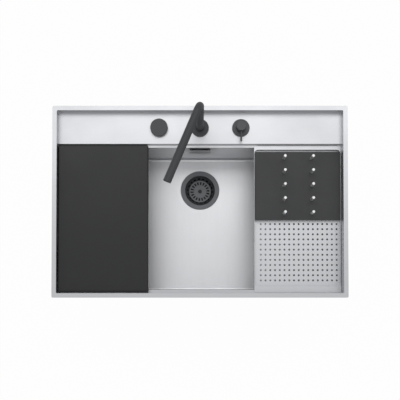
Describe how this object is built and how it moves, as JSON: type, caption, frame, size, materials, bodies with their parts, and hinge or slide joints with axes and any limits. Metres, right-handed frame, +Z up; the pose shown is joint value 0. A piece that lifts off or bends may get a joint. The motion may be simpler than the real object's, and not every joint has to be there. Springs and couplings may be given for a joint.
{
  "type": "workstation kitchen sink",
  "caption": "Inset steel sink with recessed tap deck, sliding cutting board, perforated tray with a peg plate, swivel spout, side mixer and pop-up basket waste.",
  "frame": {"origin": "centre of the worktop cut-out at the worktop's top surface", "axes": "+X to the right, +Y to the back, where the tap deck is, +Z up"},
  "size_m": [0.8, 0.52, 0.642],
  "materials": {
    "brushed_steel": "brushed, satin",
    "bright_steel": "polished",
    "zinc_steel": "plain zinc-plated",
    "gunmetal": "satin dark grey coating",
    "black_board": "matt black laminate",
    "rubber": "matt",
    "foam_rubber": "closed-cell foam",
    "damping_rubber": "matt",
    "grey_plastic": "moulded",
    "black_plastic": "moulded",
    "white_plastic": "moulded",
    "brass": "turned"
  },
  "bodies": {
    "sink": {"worktop_frame": "brushed_steel", "bowl": "brushed_steel", "tap_stiffener": "zinc_steel", "rim_seal": "foam_rubber", "clip_brackets": "zinc_steel", "fixing_clips": "zinc_steel", "clip_screws": "zinc_steel", "sound_pads": "damping_rubber", "earth_tag": "zinc_steel", "overflow_cover": "brushed_steel", "overflow_gasket": "rubber", "overflow_housing": "grey_plastic", "overflow_screws": "zinc_steel", "overflow_pipe": "grey_plastic", "waste_flange": "gunmetal", "waste_top_gasket": "rubber", "waste_bottom_gasket": "rubber", "waste_body": "grey_plastic", "waste_screw": "zinc_steel", "waste_gland": "black_plastic", "deck_seals": "rubber", "deck_washers": "zinc_steel", "deck_nuts": "brass", "spout_base": "gunmetal", "swivel_bush": "white_plastic", "spout_tail": "brass", "mixer_base": "gunmetal", "mixer_cartridge": "white_plastic", "cartridge_nut": "brass", "knob_shank": "gunmetal", "drum_housing": "grey_plastic"},
    "spout": {"spout_pipe": "gunmetal", "spout_orings": "rubber", "retaining_ring": "zinc_steel", "aerator_housing": "gunmetal", "aerator_insert": "white_plastic"},
    "mixer_stem": {"cartridge_stem": "zinc_steel", "pivot_pin": "zinc_steel"},
    "mixer_handle": {"mixer_handle": "gunmetal", "mixer_lever": "gunmetal", "handle_screw": "zinc_steel"},
    "waste_knob": {"waste_knob": "gunmetal", "knob_spindle": "zinc_steel", "cable_drum": "white_plastic", "knob_screw": "zinc_steel"},
    "lift_pin": {"lift_pin": "zinc_steel"},
    "basket": {"strainer_basket": "gunmetal", "basket_seal": "rubber", "basket_knob": "gunmetal"},
    "board": {"cutting_board": "black_board", "board_strips": "rubber"},
    "tray": {"tray_frame": "brushed_steel", "perforated_base": "brushed_steel", "tray_pads": "rubber"},
    "rack": {"plate_rack": "black_board", "rack_pegs": "bright_steel", "peg_screws": "zinc_steel", "rack_feet": "rubber"}
  },
  "joints": [
    {"name": "spout_swivel", "type": "hinge", "parent": "sink", "child": "spout", "pos_m": [0, 0.205, 0], "axis": [0, 0, 1], "range_deg": [-67, 113]},
    {"name": "mixer_turn", "type": "hinge", "parent": "sink", "child": "mixer_stem", "pos_m": [0.112, 0.205, 0], "axis": [0, 0, 1], "range_deg": [-45, 45]},
    {"name": "mixer_lift", "type": "hinge", "parent": "mixer_stem", "child": "mixer_handle", "pos_m": [0.112, 0.205, -0.007], "axis": [-1, 0, 0], "range_deg": [0, 20]},
    {"name": "waste_knob_turn", "type": "hinge", "parent": "sink", "child": "waste_knob", "pos_m": [-0.112, 0.205, 0], "axis": [0, 0, 1], "range_deg": [0, 90]},
    {"name": "lift_pin_rise", "type": "slide", "parent": "sink", "child": "lift_pin", "axis": [0, 0, 1], "range_m": [0, 0.008]},
    {"name": "basket_lift", "type": "slide", "parent": "lift_pin", "child": "basket", "axis": [0, 0, 1], "range_m": [0, 0.1]},
    {"name": "board_slide", "type": "slide", "parent": "sink", "child": "board", "axis": [1, 0, 0], "range_m": [0, 0.285]},
    {"name": "tray_slide", "type": "slide", "parent": "sink", "child": "tray", "axis": [1, 0, 0], "range_m": [-0.285, 0]},
    {"name": "rack_lift", "type": "slide", "parent": "tray", "child": "rack", "axis": [0, 0, 1], "range_m": [0, 0.1]}
  ],
  "couplings": [
    {"joint": "waste_knob_turn", "follows": "lift_pin_rise", "rad_per_m": 196.3}
  ]
}
